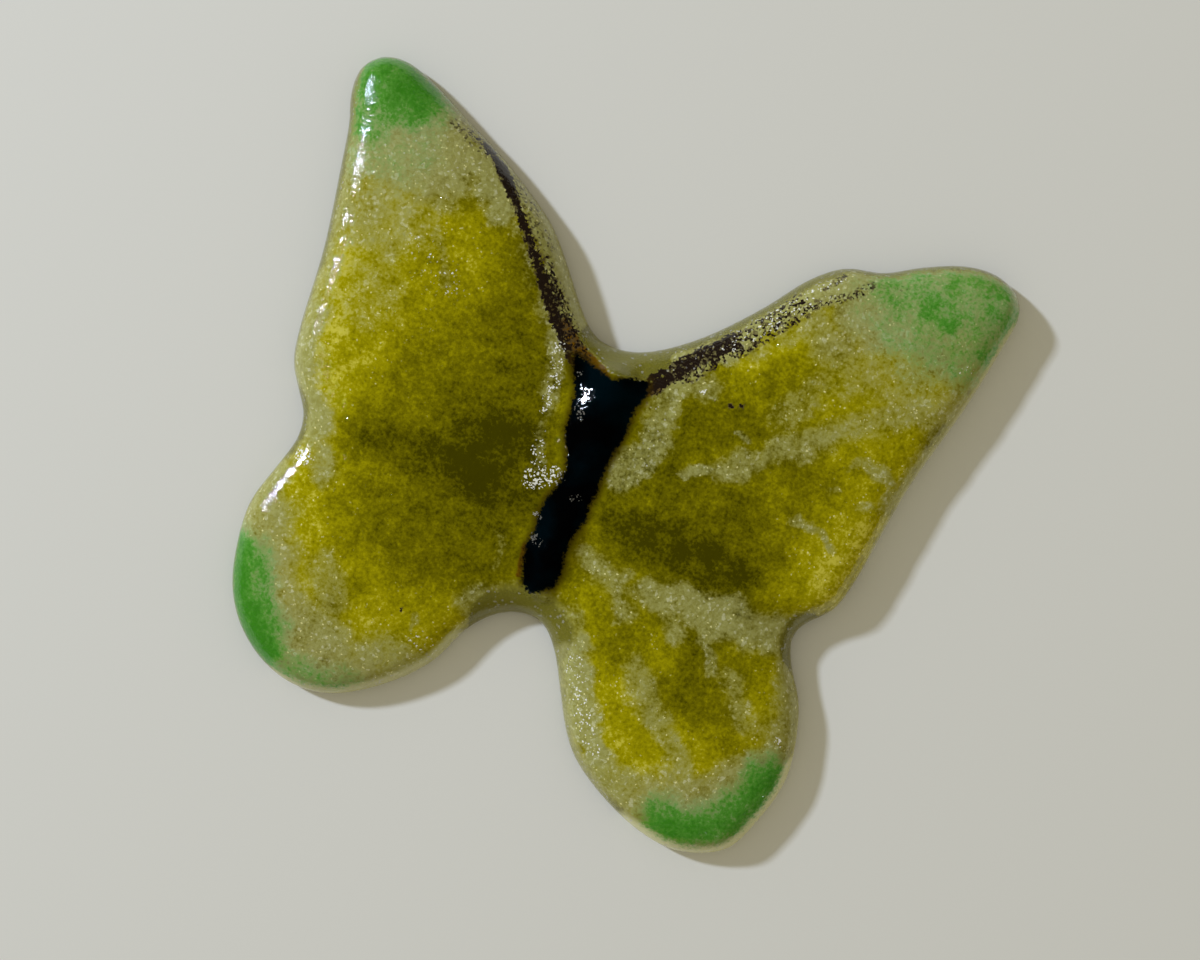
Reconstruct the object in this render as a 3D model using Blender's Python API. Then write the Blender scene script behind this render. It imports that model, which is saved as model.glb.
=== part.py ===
"""A butterfly cast in glass, lying on its flat back with its patterned face up.

Coloured grains of glass are laid in a mould, clear glass is put behind them, and the kiln
fuses it all into one solid. Each wing is a low cushion with a rounded rim, the forewings
stand a little above the hindwings, and the black body is a ringed ridge down the middle.

Sizes here are millimetres and the mesh is in metres. +Z comes out of the face, +Y runs
from the tail to the head, and the origin is under the middle, on the surface it lies on.
"""
import math

import bpy
import bmesh
import numpy as np
from mathutils.geometry import delaunay_2d_cdt

MM = 0.001

# Driving dimensions
WING_SPAN = 77.6          # widest across both forewings
WING_THICKNESS = 5.0      # back to face, in the middle of a hindwing
BODY_THICKNESS = 6.5      # back to the crest of the body, at the thorax
SHOULDER_WIDTH = 3.0      # reach of the rounded upper edge, inwards from the rim
FOOT_RADIUS = 0.8         # small rounding between the sides and the back
POINT_SPACING = 1.5       # between points round the rim
FACE_SPACING = 1.4        # between points across the wings
BODY_SPACING = 0.75       # between points across the body
BACK_SPACING = 4.5        # between points across the flat back

# Heights and reaches that follow from them
EDGE_THICKNESS = 0.68 * WING_THICKNESS
DOME_REACH = 2.0 * SHOULDER_WIDTH
FOREWING_RISE = 0.14 * WING_THICKNESS
STEP_WIDTH = 0.5 * WING_THICKNESS
GROOVE_DEPTH = 0.06 * WING_THICKNESS
ROOT_DIP = 0.1 * WING_THICKNESS
ROOT_REACH = 6.5
FOOT_ANGLES = (0.0, 45.0, 90.0)
SHOULDER_ANGLES = (26.0, 48.0, 66.0)
INNER_GAP = 0.55 * FACE_SPACING
BODY_GAP = 0.6 * BODY_SPACING

# The outline, from the left forewing's tip anticlockwise round to the same tip
LEFT_FOREWING = [
    (-36.3, 36.4), (-38.5, 34.4), (-38.7, 30.9), (-38.0, 28.5), (-37.3, 23.2),
    (-36.3, 14.1), (-36.1, 5.0), (-35.6, 1.3), (-34.0, -1.6), (-32.8, -3.7)]
LEFT_HINDWING = [
    (-32.6, -6.4), (-33.8, -10.0), (-35.4, -14.7), (-35.3, -19.8), (-34.4, -24.1),
    (-32.3, -27.8), (-28.7, -30.9), (-24.5, -32.4), (-20.4, -32.1), (-15.0, -29.2),
    (-10.7, -25.1), (-8.4, -20.7), (-5.8, -18.1)]
TAIL_NOTCH = [(-3.2, -17.1), (-0.8, -17.4), (1.3, -19.7)]
RIGHT_HINDWING = [
    (3.4, -23.9), (5.1, -27.4), (7.1, -30.3), (11.2, -33.4), (16.1, -35.8),
    (20.1, -36.7), (23.4, -36.2), (26.5, -34.6), (28.5, -30.9), (29.8, -27.3),
    (30.2, -24.2), (29.0, -17.3), (26.6, -12.9), (25.9, -10.2), (26.9, -8.5)]
RIGHT_FOREWING = [
    (29.3, -6.2), (30.6, -2.4), (31.7, 3.1), (33.1, 9.5), (36.2, 19.4), (37.9, 26.4),
    (38.7, 30.9), (37.8, 32.8), (35.1, 34.3), (31.5, 34.3), (26.7, 32.6), (22.9, 30.7),
    (18.9, 30.0), (15.6, 27.7), (11.5, 22.9), (6.1, 17.7), (1.3, 14.6)]
NECK = [(-1.6, 13.8), (-4.7, 14.2), (-6.8, 16.2)]
LEFT_COSTA = [
    (-10.2, 20.8), (-13.1, 24.4), (-17.0, 27.4), (-21.4, 30.3), (-25.3, 32.4),
    (-29.5, 34.8), (-33.4, 36.5)]

# The line where the forewings step down to the hindwings, from left to right
VALLEY = [(-33.5, -3.5), (-24.4, -5.8), (-11.5, -6.2), (1.2, -6.1), (8.8, -8.2),
          (19.6, -9.4), (27.5, -7.6)]

# The body from the tail up to the head: its middle line, half width and crest. The rings
# run down the abdomen, below the waist
BODY_LINE = [(-14.6, -2.1), (-9.0, -2.0), (-1.5, -1.8), (5.0, -1.5), (12.5, -1.3)]
BODY_HALF_WIDTH = [(-15.6, 0.8), (-14.4, 2.6), (-11.0, 3.5), (-6.0, 3.7), (-1.8, 3.1),
                   (2.0, 3.9), (6.5, 4.9), (9.5, 4.7), (11.6, 3.3), (12.8, 0.8)]
BODY_CREST = [(-15.6, 0.40), (-14.2, 0.70), (-11.5, 0.84), (-6.0, 0.91), (-1.8, 0.90),
              (4.0, 1.0), (8.5, 0.99), (11.0, 0.90), (12.8, 0.55)]
WAIST = -1.8
RING_PITCH = 3.2
RING_DEPTH = 0.3
RING_FADE = 0.7

GLASS_COLOUR = (0.19, 0.18, 0.01, 1.0)
GLASS_ROUGHNESS = 0.12
GLASS_IOR = 1.5


def clear_scene():
    """Remove every object, so that the model starts from nothing."""
    for item in list(bpy.data.objects):
        bpy.data.objects.remove(item, do_unlink=True)


def smooth_loop(points, steps=16):
    """Run one closed curve through all the points, without overshoot at close ones."""
    ring = np.array(points)
    ahead, behind = np.roll(ring, -1, axis=0), np.roll(ring, 1, axis=0)
    gap = np.sqrt(np.linalg.norm(ahead - ring, axis=1))[:, None]
    last_gap = np.roll(gap, 1, axis=0)
    slope = (ring - behind) / last_gap + (ahead - ring) / gap
    slope -= (ahead - behind) / (gap + last_gap)
    leave, arrive = slope * gap, np.roll(slope, -1, axis=0) * gap
    share = np.linspace(0.0, 1.0, steps, endpoint=False)[None, :, None]
    rest = 1.0 - share
    curve = (ring[:, None] * rest * rest * (1.0 + 2.0 * share)
             + leave[:, None] * rest * rest * share
             + ahead[:, None] * share * share * (3.0 - 2.0 * share)
             - arrive[:, None] * share * share * rest)
    return curve.reshape(-1, 2)


def space_evenly(curve, spacing):
    """Put points at equal steps along a closed curve."""
    closed = np.vstack([curve, curve[:1]])
    run = np.concatenate([[0.0], np.cumsum(np.linalg.norm(np.diff(closed, axis=0), axis=1))])
    count = round(run[-1] / spacing)
    marks = np.linspace(0.0, run[-1], count, endpoint=False)
    return np.column_stack([np.interp(marks, run, closed[:, axis]) for axis in (0, 1)])


def butterfly_outline():
    """Draw the whole outline, centred on the origin and at the full wing span."""
    drawn = (LEFT_FOREWING + LEFT_HINDWING + TAIL_NOTCH + RIGHT_HINDWING
             + RIGHT_FOREWING + NECK + LEFT_COSTA)
    outline = space_evenly(smooth_loop(drawn), POINT_SPACING)
    low, high = outline.min(axis=0), outline.max(axis=0)
    return (outline - (low + high) / 2.0) * WING_SPAN / (high[0] - low[0])


def inset_outline(outline, distance):
    """Move each point of an anticlockwise outline inwards, square to the edge."""
    along = np.roll(outline, -1, axis=0) - np.roll(outline, 1, axis=0)
    along /= np.linalg.norm(along, axis=1)[:, None]
    inwards = np.column_stack([-along[:, 1], along[:, 0]])
    return outline + inwards * distance


def distance_to_edge(points, outline):
    """Measure from each point to the nearest place on the outline."""
    runs = np.roll(outline, -1, axis=0) - outline
    offsets = points[:, None, :] - outline[None, :, :]
    share = (offsets * runs).sum(axis=2) / (runs * runs).sum(axis=1)
    share = np.clip(share, 0.0, 1.0)
    gaps = offsets - share[:, :, None] * runs[None, :, :]
    return np.sqrt((gaps * gaps).sum(axis=2)).min(axis=1)


def is_inside(points, outline):
    """Tell which points lie inside the outline, by counting crossings."""
    ends = np.roll(outline, -1, axis=0)
    x, y = points[:, 0, None], points[:, 1, None]
    spans = (outline[:, 1] > y) != (ends[:, 1] > y)
    rise = np.where(ends[:, 1] == outline[:, 1], 1.0, ends[:, 1] - outline[:, 1])
    cross = outline[:, 0] + (y - outline[:, 1]) * (ends[:, 0] - outline[:, 0]) / rise
    return (spans & (x < cross)).sum(axis=1) % 2 == 1


def smooth_step(value):
    """Ease from 0 to 1 as the value goes from -1 to 1."""
    share = np.clip((value + 1.0) / 2.0, 0.0, 1.0)
    return share * share * (3.0 - 2.0 * share)


def follow(profile, at):
    """Read a profile of (place, value) points at the given places."""
    places, values = zip(*profile)
    return np.interp(at, places, values)


def across_body(points):
    """Measure sideways from the body's middle line."""
    return points[:, 0] - follow(BODY_LINE, points[:, 1])


def wing_height(points, edge):
    """Give the height of the cushioned wings, before the rim is rounded."""
    above = points[:, 1] - follow(VALLEY, points[:, 0])
    dome = (WING_THICKNESS - EDGE_THICKNESS) * (1.0 - np.exp(-edge / DOME_REACH))
    step = FOREWING_RISE * smooth_step(above / STEP_WIDTH)
    groove = GROOVE_DEPTH * np.exp(-(above / STEP_WIDTH + 0.6) ** 2)
    root = ROOT_DIP * np.exp(-(across_body(points) / ROOT_REACH) ** 2)
    return EDGE_THICKNESS + dome + step - groove - root


def body_height(points, wings):
    """Give the height of the body, a soft ridge on the wings with rings down its tail."""
    half_width = follow(BODY_HALF_WIDTH, points[:, 1])
    side = np.clip(across_body(points) / half_width, -1.0, 1.0)
    down = WAIST - points[:, 1]
    ring = np.abs(np.cos(math.pi * np.maximum(down, 0.0) / RING_PITCH)) ** 3
    ring = ring * np.exp(-(np.minimum(down, 0.0) / RING_FADE) ** 2)
    crest = BODY_THICKNESS * follow(BODY_CREST, points[:, 1]) - RING_DEPTH * ring
    return wings + np.maximum(crest - wings, 0.0) * np.cos(math.pi / 2.0 * side) ** 2


def face_height(points, outline):
    """Give the height of the patterned face, rounded down to the rim at the edge."""
    edge = distance_to_edge(points, outline)
    full = body_height(points, wing_height(points, edge))
    reach = np.clip(edge / SHOULDER_WIDTH, 0.0, 1.0)
    return FOOT_RADIUS + (full - FOOT_RADIUS) * np.sqrt(1.0 - (1.0 - reach) ** 2)


def grid_inside(outline, spacing, margin):
    """Lay points in staggered rows, keeping a margin to the outline."""
    low, high = outline.min(axis=0), outline.max(axis=0)
    row_gap = spacing * math.sqrt(3.0) / 2.0
    rows = []
    for row, y in enumerate(np.arange(low[1], high[1], row_gap)):
        start = low[0] + (row % 2) * spacing / 2.0
        xs = np.arange(start, high[0], spacing)
        rows.append(np.column_stack([xs, np.full(len(xs), y)]))
    points = np.vstack(rows)
    points = points[is_inside(points, outline)]
    return points[distance_to_edge(points, outline) > margin]


def near_body(points, clearance):
    """Tell which points lie on the body, or within a clearance of it."""
    reach = follow(BODY_HALF_WIDTH, points[:, 1]) + clearance
    low, high = BODY_HALF_WIDTH[0][0], BODY_HALF_WIDTH[-1][0]
    inside = (points[:, 1] > low - clearance) & (points[:, 1] < high + clearance)
    return inside & (np.abs(across_body(points)) < reach)


def face_points(outline):
    """Spread points over the face, closer together on the body."""
    wings = grid_inside(outline, FACE_SPACING, INNER_GAP)
    body = grid_inside(outline, BODY_SPACING, INNER_GAP)
    wings = wings[~near_body(wings, BODY_GAP)]
    return np.vstack([wings, body[near_body(body, 0.0)]])


def add_ring(mesh, flat, heights):
    """Add one ring of vertices."""
    return [mesh.verts.new((x * MM, y * MM, z * MM))
            for (x, y), z in zip(flat, heights)]


def join_rings(mesh, lower, upper):
    """Join two rings with a band of quads that face outwards."""
    count = len(lower)
    for index in range(count):
        after = (index + 1) % count
        mesh.faces.new((lower[index], lower[after], upper[after], upper[index]))


def fill_ring(mesh, ring, flat, inner, heights, faces_up):
    """Fill a ring with triangles through a field of inner points."""
    inner_verts = add_ring(mesh, inner, heights)
    corners = ring + inner_verts
    flat_points = [tuple(point) for point in np.vstack([flat, inner])]
    border = [list(range(len(ring)))]
    triangles = delaunay_2d_cdt(flat_points, [], border, 1, 1e-6)[2]
    for triangle in triangles:
        order = triangle if faces_up else triangle[::-1]
        mesh.faces.new([corners[index] for index in order])


def build_butterfly():
    """Build the whole casting as one closed solid."""
    outline = butterfly_outline()
    mesh = bmesh.new()
    rings = []
    for angle in map(math.radians, FOOT_ANGLES):
        flat = inset_outline(outline, FOOT_RADIUS * (1.0 - math.sin(angle)))
        height = FOOT_RADIUS * (1.0 - math.cos(angle))
        rings.append((flat, add_ring(mesh, flat, [height] * len(flat))))
    for angle in map(math.radians, SHOULDER_ANGLES):
        flat = inset_outline(outline, SHOULDER_WIDTH * (1.0 - math.cos(angle)))
        rings.append((flat, add_ring(mesh, flat, face_height(flat, outline))))
    for (_, lower), (_, upper) in zip(rings, rings[1:]):
        join_rings(mesh, lower, upper)

    back_flat, back_ring = rings[0]
    back_points = grid_inside(back_flat, BACK_SPACING, BACK_SPACING / 2.0)
    fill_ring(mesh, back_ring, back_flat, back_points, [0.0] * len(back_points), False)
    face_flat, face_ring = rings[-1]
    inner = face_points(face_flat)
    fill_ring(mesh, face_ring, face_flat, inner, face_height(inner, outline), True)

    data = bpy.data.meshes.new("glass_butterfly")
    mesh.to_mesh(data)
    mesh.free()
    data.shade_smooth()
    butterfly = bpy.data.objects.new("glass_butterfly", data)
    bpy.context.collection.objects.link(butterfly)
    return butterfly


def dress_in_glass(butterfly):
    """Give the casting its glossy olive glass."""
    glass = bpy.data.materials.new("fused_glass")
    glass.use_nodes = True
    shader = glass.node_tree.nodes["Principled BSDF"]
    shader.inputs["Base Color"].default_value = GLASS_COLOUR
    shader.inputs["Roughness"].default_value = GLASS_ROUGHNESS
    shader.inputs["IOR"].default_value = GLASS_IOR
    shader.inputs["Metallic"].default_value = 0.0
    butterfly.data.materials.append(glass)


clear_scene()
dress_in_glass(build_butterfly())
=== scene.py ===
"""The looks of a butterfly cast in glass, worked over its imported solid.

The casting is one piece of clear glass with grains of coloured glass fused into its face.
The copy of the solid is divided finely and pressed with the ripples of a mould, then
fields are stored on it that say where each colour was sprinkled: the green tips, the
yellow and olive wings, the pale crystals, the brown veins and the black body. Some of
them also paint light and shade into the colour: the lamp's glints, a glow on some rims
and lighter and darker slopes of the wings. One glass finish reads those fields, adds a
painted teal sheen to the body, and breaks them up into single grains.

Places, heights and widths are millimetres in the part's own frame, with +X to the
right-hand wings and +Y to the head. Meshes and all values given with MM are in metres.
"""
from __future__ import annotations

import logging
import math
from dataclasses import dataclass, field
from enum import Enum

import bpy
import numpy as np
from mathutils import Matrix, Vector, noise


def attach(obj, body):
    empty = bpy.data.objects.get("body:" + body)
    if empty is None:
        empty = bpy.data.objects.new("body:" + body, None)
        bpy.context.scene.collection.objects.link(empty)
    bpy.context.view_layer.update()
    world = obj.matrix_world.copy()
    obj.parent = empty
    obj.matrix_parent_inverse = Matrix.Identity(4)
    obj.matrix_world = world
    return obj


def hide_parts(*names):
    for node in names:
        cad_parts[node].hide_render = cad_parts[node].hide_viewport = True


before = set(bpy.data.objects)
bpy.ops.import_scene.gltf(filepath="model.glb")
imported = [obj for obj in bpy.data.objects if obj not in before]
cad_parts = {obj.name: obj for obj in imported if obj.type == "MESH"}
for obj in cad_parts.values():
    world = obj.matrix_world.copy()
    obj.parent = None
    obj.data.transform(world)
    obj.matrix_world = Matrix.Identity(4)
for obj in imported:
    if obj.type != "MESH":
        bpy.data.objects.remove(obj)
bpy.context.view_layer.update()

MM = 0.001
NODE = "glass_butterfly"
ROOT = "root"

# How high above the back the casting is widest, and how near two points are one
RIM_HEIGHT = 0.8 * MM
SAME_PLACE = 1e-6

# How far above the first layer of a noise its second one is read
SECOND_LAYER = 7.3

log = logging.getLogger("butterfly")

Line = tuple[tuple[float, float], ...]
Colour = tuple[float, float, float]
Span = tuple[float, float]
Shares = tuple[float, ...]
Socket = bpy.types.NodeSocket


class Grain(Enum):
    """The fields of colour that the casting stores on its surface."""

    # The grains' own tone, partly with painted light and shade
    TONE = "tone"
    PALE = "pale"
    GREEN = "green"
    VEIN = "vein"
    AMBER = "amber"
    # Painted glints: white specks for the lamp's highlights, with a few real frosted grains
    SPARK = "spark"
    MARGIN = "margin"
    BODY = "body"
    # Painted glow: where the rim is painted paler and less clear, for lamp light focused
    # through it
    PAINTED_GLOW = "milky rim"
    RIM = "rim"


class Patch(Enum):
    """The groups of points that are smoothed or pressed."""

    UPPER = "upper"
    FACE = "face"
    HIGH = "high"


class Sum(Enum):
    """The sums that a finish does on its values."""

    ADD = "ADD"
    LESS = "SUBTRACT"
    TIMES = "MULTIPLY"
    TIMES_PLUS = "MULTIPLY_ADD"
    MOST = "MAXIMUM"


def clamp(value: float) -> float:
    """Keep a value between 0 and 1."""
    return min(max(value, 0.0), 1.0)


def edges_of(line: Line, closed: bool = False) -> np.ndarray:
    """Cut a line into its edges.

    Args:
        line: The points that it runs through.
        closed: True if it runs back to its start.

    Returns:
        Start and end of each edge, shaped (count, 2, 2).
    """
    points = np.array(line)
    edges = np.stack((points, np.roll(points, -1, axis=0)), axis=1)
    return edges if closed else edges[:-1]


def distance_to_edges(places: np.ndarray, edges: np.ndarray) -> np.ndarray:
    """Measure from each place to the nearest of many edges.

    Args:
        places: Flat positions, one row each.
        edges: Start and end of each edge, shaped (count, 2, 2).

    Returns:
        The distance from each place, in the same unit.
    """
    nearest = np.full(len(places), np.inf)
    for start, end in edges:
        run = end - start
        share = np.clip((places - start) @ run / (run @ run), 0.0, 1.0)
        gap = np.linalg.norm(places - start - share[:, None] * run, axis=1)
        nearest = np.minimum(nearest, gap)
    return nearest


def inside(places: np.ndarray, edges: np.ndarray) -> np.ndarray:
    """Tell which places lie inside a closed ring, by counting crossings.

    Args:
        places: Flat positions, one row each.
        edges: Start and end of each of the ring's edges, shaped (count, 2, 2).

    Returns:
        True for each place inside.
    """
    count = np.zeros(len(places), dtype=int)
    for start, end in edges:
        if start[1] == end[1]:
            continue
        spans = (start[1] > places[:, 1]) != (end[1] > places[:, 1])
        share = (places[:, 1] - start[1]) / (end[1] - start[1])
        count += spans & (places[:, 0] < start[0] + share * (end[0] - start[0]))
    return count % 2 == 1


def wander(places: np.ndarray, size: float, reach: float) -> np.ndarray:
    """Shift places unevenly, so that no run of grains has an even edge.

    Args:
        places: Flat positions, one row each.
        size: The width of the unevenness.
        reach: About how far the furthest places are shifted.

    Returns:
        The shifted positions.
    """
    above = Vector((0.0, 0.0, SECOND_LAYER))
    points = [Vector((x / size, y / size, 0.0)) for x, y in places]
    across = [noise.noise(point) for point in points]
    along = [noise.noise(point + above) for point in points]
    return places + reach * np.column_stack((across, along))


@dataclass(frozen=True)
class Sprinkle:
    """A run of coloured grains along a line, fading out at its sides.

    Args:
        line: The points that it follows.
        reach: Half its width at full strength.
        fade: How far it thins out beyond that.
        amount: How much of the colour it adds.
    """

    line: Line
    reach: float
    fade: float
    amount: float

    def over(self, places: np.ndarray) -> np.ndarray:
        """Work out how much of this run lies at each place.

        Args:
            places: Flat positions, one row each.

        Returns:
            The amount at each place.
        """
        gap = distance_to_edges(places, edges_of(self.line))
        share = np.clip(1.0 - (gap - self.reach) / self.fade, 0.0, 1.0)
        return self.amount * share * share * (3.0 - 2.0 * share)


def runs(*rows: tuple[Line, float, float, float]) -> list[Sprinkle]:
    """Make one run of grains from each row: its line, reach, fade and amount."""
    return [Sprinkle(*row) for row in rows]


@dataclass
class ColourPlan:
    """Where the maker sprinkled each colour, wing by wing, and where light and shade are
    painted in.

    Every list runs from the left forewing to the right hindwing.

    Args:
        base_tone: How bright the olive is where no run changes it.
        base_margin: How wide the clear rim is where no run widens it.
        coarse: Width and reach of the slow unevenness of loose edges.
        close: Width and reach of the quick unevenness on top of it.
        steady: Width and reach of the unevenness of firmer edges.
        tone: Brighter yellow where positive, darker olive where negative; partly the grains'
            own
        tone, partly painted light and shade on the wings' slopes.
        pale: The pale crystals.
        green: The green tips.
        vein: The brown grains of the veins, and single dark specks.
        amber: The amber glass at the roots of the veins and along the body.
        spark: Painted glints, white specks for the lamp's highlights on the grains and the
            body, with a few real frosted grains.
        margin: How much wider the clear rim is.
        painted_glow: Where the clear rim is painted pale and less clear, a painted glow for
            lamp light focused through the glass.
        body_ring: The outline of the black body.
    """

    base_tone: float = 0.46
    base_margin: float = 0.12
    coarse: Span = (2.8, 1.0)
    close: Span = (1.0, 0.6)
    steady: Span = (2.2, 0.6)
    tone: list[Sprinkle] = field(default_factory=lambda: runs(
        # Partly painted light: the left forewing lighter on its side towards the lamp
        (((-31.0, 20.0), (-31.0, 2.0)), 2.0, 7.0, 0.30),
        (((-33.4, 12.0), (-33.4, 0.0)), 1.0, 3.0, 0.12),
        (((-22.0, 20.0), (-18.5, 16.5)), 1.0, 3.5, 0.20),
        (((-25.0, 15.0), (-22.0, 12.0)), 0.8, 3.0, 0.14),
        # Partly painted shade: the left forewing darker towards the body and down its slope to
        # the valley
        (((-10.5, -1.0), (-8.5, -4.6)), 2.5, 5.5, -0.32),
        (((-25.0, -3.6), (-13.0, -4.2)), 0.6, 3.4, -0.25),
        (((-13.0, 1.0), (-11.0, 12.0), (-12.4, 15.5)), 2.0, 6.0, -0.17),
        (((-20.0, 3.0), (-18.0, -1.0)), 1.5, 4.0, -0.08),
        # Partly painted light and shade: the left hindwing lighter towards the lamp, darker
        # towards the body
        (((-30.5, -8.0), (-30.0, -14.0), (-27.0, -20.0)), 1.5, 5.0, 0.30),
        (((-18.0, -24.0), (-10.0, -20.5)), 1.2, 4.0, 0.24),
        (((-15.5, -26.6), (-13.0, -26.0)), 0.5, 1.5, 0.20),
        (((-18.0, -10.5), (-10.0, -12.0)), 2.0, 5.0, -0.13),
        (((-21.5, -17.0), (-20.0, -17.4)), 0.5, 3.0, 0.14),
        (((26.0, 18.0), (30.0, 6.0), (28.0, -4.0)), 2.0, 7.0, 0.24),
        (((27.5, -3.0), (30.0, 2.0)), 1.0, 3.5, 0.16),
        (((33.0, 20.0), (36.0, 22.0)), 1.0, 3.0, 0.18),
        (((11.0, 16.6), (15.0, 20.6), (18.0, 23.5)), 0.8, 2.4, 0.19),
        # Partly painted shade: the right forewing darker down its slope to the valley
        (((5.0, -5.2), (13.0, -5.6), (18.0, -6.8)), 1.2, 3.0, -0.28),
        (((4.0, 0.0), (14.0, -2.0)), 2.5, 6.0, -0.20),
        (((3.0, 12.0), (5.0, 8.0)), 1.0, 3.0, -0.14),
        (((10.0, 8.4), (12.5, 10.0)), 0.8, 3.0, -0.16),
        (((17.0, 4.0), (22.0, 6.0)), 1.5, 3.5, -0.08),
        (((9.0, -24.0), (13.0, -28.0), (18.0, -26.0)), 1.8, 5.0, 0.27),
        (((11.0, -18.0), (13.0, -16.0)), 0.8, 2.0, 0.14),
        (((15.6, -16.0), (17.4, -20.6)), 1.0, 3.0, -0.16),
        (((26.0, -14.0), (26.0, -20.0)), 1.0, 4.0, 0.16),
    ))
    pale: list[Sprinkle] = field(default_factory=lambda: runs(
        (((-36.4, 29.0), (-35.8, 22.0), (-35.4, 12.0), (-34.6, 4.0)), 0.6, 3.4, 0.80),
        (((-34.6, 4.0), (-33.4, -1.0), (-31.0, -4.6)), 0.5, 3.6, 1.05),
        (((-33.8, 28.0), (-27.8, 27.8)), 2.0, 7.5, 1.15),
        (((-32.4, 24.0), (-30.8, 19.0)), 1.6, 8.0, 0.66),
        (((-24.0, 28.6), (-21.0, 27.4), (-18.4, 24.6)), 0.9, 2.8, 0.95),
        (((-18.0, 24.0), (-14.0, 19.4), (-10.4, 14.4)), 0.2, 1.5, 0.46),
        (((-19.6, 30.0), (-14.5, 25.0), (-9.4, 18.0), (-6.0, 13.4)), 1.1, 1.2, 1.1),
        (((-24.2, 19.4), (-21.5, 14.6)), 0.2, 1.5, 0.46),
        (((-31.0, 18.0), (-29.0, 10.0)), 1.5, 5.0, 0.42),
        (((-8.6, 13.2), (-8.0, 11.0)), 0.3, 1.3, 0.66),
        (((-8.0, 11.0), (-7.4, 5.0)), 0.2, 1.2, 0.54),
        (((-7.4, 5.0), (-6.4, -1.5)), 0.1, 1.1, 0.42),
        (((-34.2, -9.5), (-34.2, -16.0)), 1.2, 3.2, 0.84),
        (((-33.4, -16.0), (-30.4, -22.5), (-26.0, -26.8), (-20.0, -28.8),
          (-13.5, -27.8)), 1.8, 5.2, 0.80),
        (((-31.6, -3.4), (-30.2, -6.0), (-28.0, -9.0)), 0.4, 2.6, 0.82),
        (((-7.8, -9.5), (-7.2, -13.0)), 0.1, 0.9, 0.40),
        (((-25.0, -18.6), (-23.0, -22.0)), 0.6, 2.8, 0.56),
        (((-14.0, -20.8), (-13.9, -22.2)), 0.2, 0.7, 0.60),
        (((-8.5, -17.4), (-3.0, -16.0), (2.0, -16.4)), 0.8, 2.2, 0.60),
        (((4.6, 9.4), (4.9, 6.0), (4.0, 2.6), (2.6, 0.6)), 0.8, 1.8, 0.66),
        (((5.0, 11.4), (8.6, 12.6)), 0.5, 2.0, 0.62),
        (((3.6, 12.4), (6.4, 15.0), (9.0, 17.4)), 1.1, 1.2, 0.95),
        (((9.0, 17.4), (13.0, 21.8), (16.0, 25.4), (20.0, 29.2)), 0.9, 1.5, 1.05),
        (((8.8, 2.8), (12.0, 4.2)), 0.2, 0.8, 0.80),
        (((12.0, 4.2), (15.0, 6.0), (18.0, 8.4)), 0.3, 1.7, 0.60),
        (((18.0, 8.6), (22.0, 11.2), (26.0, 14.2), (31.0, 17.4)), 0.5, 2.8, 0.60),
        (((17.4, 11.6), (18.0, 13.6), (20.4, 17.0)), 0.5, 2.2, 0.44),
        (((22.0, 19.5), (27.0, 19.6), (33.0, 18.4)), 1.0, 4.4, 0.54),
        (((17.0, 22.8), (21.0, 20.4)), 0.6, 3.2, 0.60),
        (((12.0, 17.6), (16.4, 22.0)), 0.3, 1.8, 0.44),
        (((24.0, 26.5), (29.0, 29.0), (35.0, 28.4)), 3.0, 4.5, 0.95),
        (((34.5, 20.0), (33.6, 13.0), (31.6, 6.0)), 0.4, 2.2, 0.60),
        (((26.0, 9.6), (30.2, 9.0)), 0.3, 1.0, 0.60),
        (((24.2, 6.0), (24.8, 6.8)), 0.2, 0.8, 0.50),
        (((28.0, 5.0), (30.6, 5.5)), 0.2, 1.0, 0.46),
        (((21.8, 1.8), (26.6, 0.2)), 0.1, 1.0, 0.72),
        (((13.4, 8.2), (14.1, 8.4)), 0.1, 0.6, 0.80),
        (((28.0, 24.0), (34.8, 22.8)), 0.8, 2.6, 0.66),
        (((1.6, -9.0), (5.6, -10.0)), 0.4, 2.0, 0.64),
        (((6.0, -10.4), (7.4, -13.6)), 0.25, 1.7, 0.62),
        (((9.6, -10.4), (15.0, -10.8)), 0.9, 2.2, 0.74),
        (((15.0, -10.8), (21.0, -10.6), (25.4, -11.0)), 1.2, 2.6, 0.84),
        (((12.0, -11.0), (13.4, -14.0)), 0.3, 1.8, 0.62),
        (((16.4, -13.4), (18.6, -16.2)), 0.2, 1.6, 0.58),
        (((25.8, -12.0), (27.6, -17.0), (28.2, -21.5), (26.8, -24.5)), 0.5, 2.8, 0.72),
        (((20.4, -16.4), (22.0, -18.6)), 0.3, 1.7, 0.54),
        (((22.0, -19.6), (26.5, -21.0)), 0.3, 2.2, 0.54),
        (((10.4, -18.4), (12.6, -22.0), (16.0, -24.6), (19.0, -28.0)), 0.4, 2.1, 0.62),
        (((3.0, -18.6), (5.0, -22.5), (7.0, -26.0), (9.2, -29.2)), 0.8, 1.8, 1.05),
        (((10.0, -30.8), (14.0, -31.8), (20.0, -30.2), (26.0, -26.0)), 1.0, 3.6, 0.78),
    ))
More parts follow.
